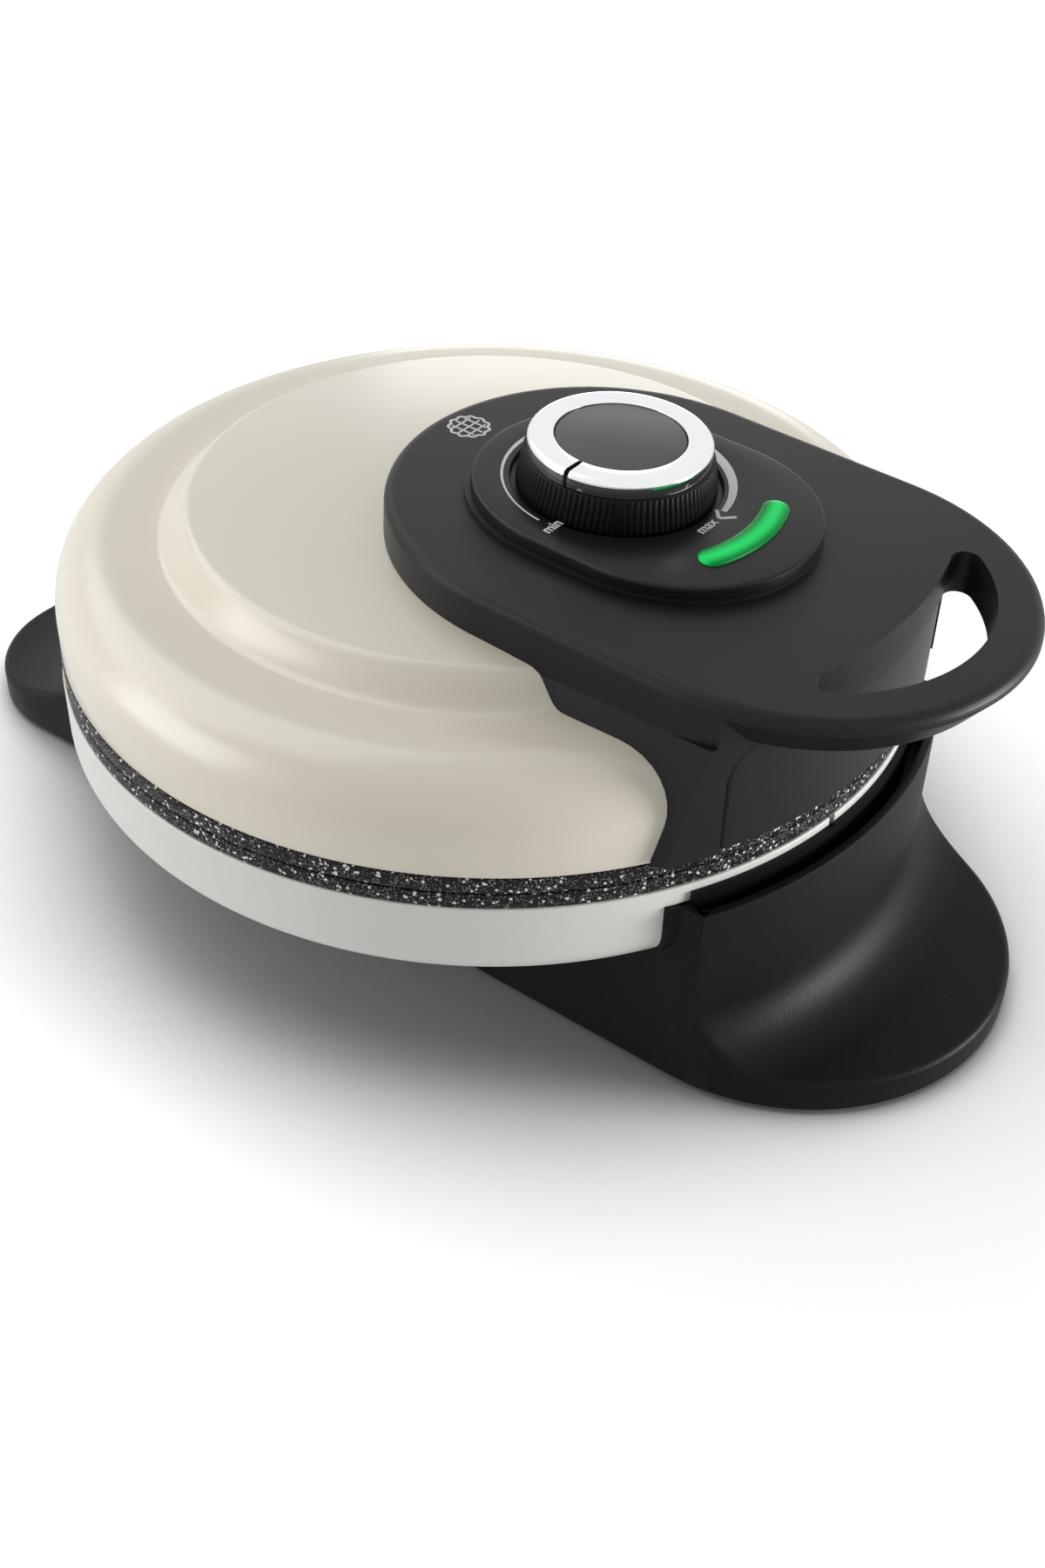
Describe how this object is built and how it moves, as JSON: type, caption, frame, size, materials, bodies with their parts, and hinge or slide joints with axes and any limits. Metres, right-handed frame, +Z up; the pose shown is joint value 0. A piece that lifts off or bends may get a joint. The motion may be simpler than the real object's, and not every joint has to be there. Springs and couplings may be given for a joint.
{
  "type": "waffle maker",
  "caption": "Round waffle maker: domed lid on a rear hinge, loop handle and temperature dial on the lid, waffle plates inside, and a base with swept front and rear feet.",
  "frame": {"origin": "on the table under the middle of the whole footprint", "axes": "+Z up, -Y towards the user (handle and dial side), +Y towards the hinge, X across"},
  "size_m": [0.22, 0.311, 0.1285],
  "materials": {
    "black_plastic": "fine satin grain",
    "underside_plastic": "matte",
    "shell_paint": "satin cream enamel",
    "lid_paint": "glossy cream enamel",
    "speckled_coating": "non-stick coating with pale flecks",
    "heater_steel": "dull oxidised",
    "reflector_sheet": "bright sheet",
    "plated_steel": "zinc plated",
    "ceramic": "glazed ceramic",
    "rubber": "matte",
    "lamp_green": "clear green, polished",
    "lamp_glass": "clear",
    "dial_black": "satin, ribbed",
    "dial_chrome": "polished",
    "dial_satin": "satin"
  },
  "bodies": {
    "base": {"base_housing": "black_plastic", "bottom_cover": "underside_plastic", "rubber_feet": "rubber", "cover_screws": "plated_steel", "lower_shell": "shell_paint", "lower_plate": "speckled_coating", "lower_heater": "heater_steel", "lower_reflector": "reflector_sheet", "lower_posts": "plated_steel", "shell_screws": "plated_steel", "thermal_fuse": "ceramic", "terminal_block": "ceramic", "cord_bushing": "rubber", "hinge_pin": "plated_steel"},
    "lid": {"upper_shell": "lid_paint", "upper_plate": "speckled_coating", "upper_heater": "heater_steel", "upper_reflector": "reflector_sheet", "upper_posts": "plated_steel", "handle_cover": "black_plastic", "grip_underside": "underside_plastic", "front_panel": "black_plastic", "handle_screws": "plated_steel", "control_plate": "black_plastic", "lamp_lens": "lamp_green", "indicator_lamp": "lamp_glass", "thermostat": "ceramic", "dial_nut": "plated_steel", "hinge_block": "black_plastic", "hinge_screws": "plated_steel"},
    "dial": {"dial_shaft": "plated_steel", "dial_skirt": "dial_black", "dial_ring": "dial_chrome", "dial_cap": "dial_satin"}
  },
  "joints": [
    {"name": "lid_hinge", "type": "hinge", "parent": "base", "child": "lid", "pos_m": [0, 0.115, 0.06], "axis": [-1, 0, 0], "range_deg": [0, 100]},
    {"name": "dial_turn", "type": "hinge", "parent": "lid", "child": "dial", "pos_m": [0, -0.0395, 0.1121], "axis": [0, -0.041, 0.9992], "range_deg": [-270, 0]}
  ]
}
